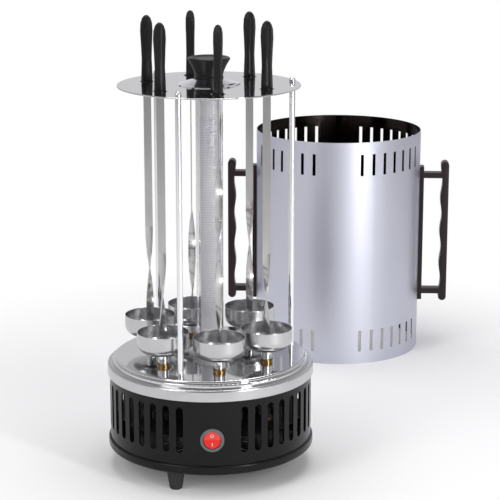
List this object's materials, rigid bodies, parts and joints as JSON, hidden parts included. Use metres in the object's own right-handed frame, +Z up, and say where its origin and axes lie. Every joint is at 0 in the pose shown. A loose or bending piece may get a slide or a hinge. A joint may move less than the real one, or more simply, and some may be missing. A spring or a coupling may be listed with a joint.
{
  "type": "rotisserie oven",
  "caption": "Upright electric skewer grill with a vented drive base, central quartz heater, turning skewers over drip cups, and a lift-off steel casing with side handles.",
  "frame": {"origin": "on the base's vertical axis, at floor level", "axes": "+Z up along the heater and skewers, -Y towards the power switch, +X to the right seen from the switch"},
  "size_m": [0.4239, 0.6557, 0.4766],
  "materials": {
    "black_enamel": "satin black enamel on sheet steel",
    "polished_steel": "polished stainless steel",
    "mirror_steel": "mirror-polished stainless steel",
    "brushed_steel": "satin stainless sheet, vertical grain",
    "blade_steel": "polished flat strip",
    "zinc_steel": "zinc-plated",
    "dark_steel": "blackened sheet steel",
    "chrome": "bright chrome",
    "brass": "turned brass",
    "black_rubber": "matte rubber",
    "black_plastic": "satin black phenolic",
    "dark_plastic": "satin dark brown-black phenolic",
    "grey_plastic": "satin grey",
    "red_plastic": "glossy translucent red",
    "dark_nylon": "dark moulded nylon",
    "ceramic": "unglazed white ceramic",
    "coil_wire": "resistance wire",
    "quartz": "clear quartz"
  },
  "bodies": {
    "root": {"bottom_pan": "black_enamel", "base_skirt": "black_enamel", "deck_ring": "polished_steel", "mirror_plate": "mirror_steel", "feet": "black_rubber", "foot_screws": "zinc_steel", "switch_housing": "grey_plastic", "cord_gland": "black_plastic", "gear_plate": "dark_steel", "motor": "dark_steel", "motor_screws": "zinc_steel", "hub_post": "zinc_steel", "spindle_bushes": "brass", "heater_socket": "ceramic", "quartz_tube": "quartz", "heater_core": "ceramic", "heating_coil": "coil_wire", "heater_top_cap": "polished_steel", "support_rods": "chrome", "rod_nuts": "chrome", "top_disc": "mirror_steel", "knob_dish": "chrome", "knob": "black_plastic"},
    "rocker": {"switch_rocker": "red_plastic"},
    "drive": {"drive_gear": "dark_nylon"},
    "pinion": {"motor_pinion": "dark_nylon"},
    "spindle_1": {"spindle_1": "chrome", "drip_cup_1": "polished_steel", "spindle_gear_1": "dark_nylon"},
    "skewer_1": {"skewer_blade_1": "blade_steel", "skewer_handle_1": "black_plastic"},
    "spindle_2": {"spindle_2": "chrome", "drip_cup_2": "polished_steel", "spindle_gear_2": "dark_nylon"},
    "skewer_2": {"skewer_blade_2": "blade_steel", "skewer_handle_2": "black_plastic"},
    "spindle_3": {"spindle_3": "chrome", "drip_cup_3": "polished_steel", "spindle_gear_3": "dark_nylon"},
    "skewer_3": {"skewer_blade_3": "blade_steel", "skewer_handle_3": "black_plastic"},
    "spindle_4": {"spindle_4": "chrome", "drip_cup_4": "polished_steel", "spindle_gear_4": "dark_nylon"},
    "skewer_4": {"skewer_blade_4": "blade_steel", "skewer_handle_4": "black_plastic"},
    "spindle_5": {"spindle_5": "chrome", "drip_cup_5": "polished_steel", "spindle_gear_5": "dark_nylon"},
    "skewer_5": {"skewer_blade_5": "blade_steel", "skewer_handle_5": "black_plastic"},
    "spindle_6": {"spindle_6": "chrome", "drip_cup_6": "polished_steel", "spindle_gear_6": "dark_nylon"},
    "skewer_6": {"skewer_blade_6": "blade_steel", "skewer_handle_6": "black_plastic"},
    "casing": {"casing_shell": "brushed_steel", "casing_handle_left": "dark_plastic", "casing_handle_right": "dark_plastic", "casing_handle_screws": "zinc_steel"}
  },
  "joints": [
    {"name": "power_rocker", "type": "hinge", "parent": "root", "child": "rocker", "pos_m": [0, -0.1052, 0.061], "axis": [1, 0, 0], "range_deg": [0, 16]},
    {"name": "drive_spin", "type": "hinge", "parent": "root", "child": "drive", "pos_m": [0, 0, 0.074], "axis": [0, 0, 1], "continuous": true},
    {"name": "pinion_spin", "type": "hinge", "parent": "root", "child": "pinion", "pos_m": [0.0563, 0.00892, 0.074], "axis": [0, 0, 1], "continuous": true},
    {"name": "spindle_1_spin", "type": "hinge", "parent": "root", "child": "spindle_1", "pos_m": [0.00823, -0.067, 0.128], "axis": [0, 0, 1], "continuous": true},
    {"name": "skewer_1_lift", "type": "slide", "parent": "spindle_1", "child": "skewer_1", "axis": [0, 0, 1], "range_m": [0, 0.3]},
    {"name": "spindle_2_spin", "type": "hinge", "parent": "root", "child": "spindle_2", "pos_m": [0.05786, -0.03476, 0.128], "axis": [0, 0, 1], "continuous": true},
    {"name": "skewer_2_lift", "type": "slide", "parent": "spindle_2", "child": "skewer_2", "axis": [0, 0, 1], "range_m": [0, 0.3]},
    {"name": "spindle_3_spin", "type": "hinge", "parent": "root", "child": "spindle_3", "pos_m": [0.04339, 0.05171, 0.128], "axis": [0, 0, 1], "continuous": true},
    {"name": "skewer_3_lift", "type": "slide", "parent": "spindle_3", "child": "skewer_3", "axis": [0, 0, 1], "range_m": [0, 0.3]},
    {"name": "spindle_4_spin", "type": "hinge", "parent": "root", "child": "spindle_4", "pos_m": [-0.01861, 0.06488, 0.128], "axis": [0, 0, 1], "continuous": true},
    {"name": "skewer_4_lift", "type": "slide", "parent": "spindle_4", "child": "skewer_4", "axis": [0, 0, 1], "range_m": [0, 0.3]},
    {"name": "spindle_5_spin", "type": "hinge", "parent": "root", "child": "spindle_5", "pos_m": [-0.06382, 0.02198, 0.128], "axis": [0, 0, 1], "continuous": true},
    {"name": "skewer_5_lift", "type": "slide", "parent": "spindle_5", "child": "skewer_5", "axis": [0, 0, 1], "range_m": [0, 0.3]},
    {"name": "spindle_6_spin", "type": "hinge", "parent": "root", "child": "spindle_6", "pos_m": [-0.04937, -0.04603, 0.128], "axis": [0, 0, 1], "continuous": true},
    {"name": "skewer_6_lift", "type": "slide", "parent": "spindle_6", "child": "skewer_6", "axis": [0, 0, 1], "range_m": [0, 0.3]},
    {"name": "casing_lift", "type": "slide", "parent": "root", "child": "casing", "axis": [0, 0, 1], "range_m": [0, 0.365]}
  ],
  "couplings": [
    {"joint": "pinion_spin", "follows": "drive_spin", "ratio": -3.75},
    {"joint": "spindle_1_spin", "follows": "drive_spin", "ratio": -2},
    {"joint": "spindle_2_spin", "follows": "drive_spin", "ratio": -2},
    {"joint": "spindle_3_spin", "follows": "drive_spin", "ratio": -2},
    {"joint": "spindle_4_spin", "follows": "drive_spin", "ratio": -2},
    {"joint": "spindle_5_spin", "follows": "drive_spin", "ratio": -2},
    {"joint": "spindle_6_spin", "follows": "drive_spin", "ratio": -2}
  ]
}
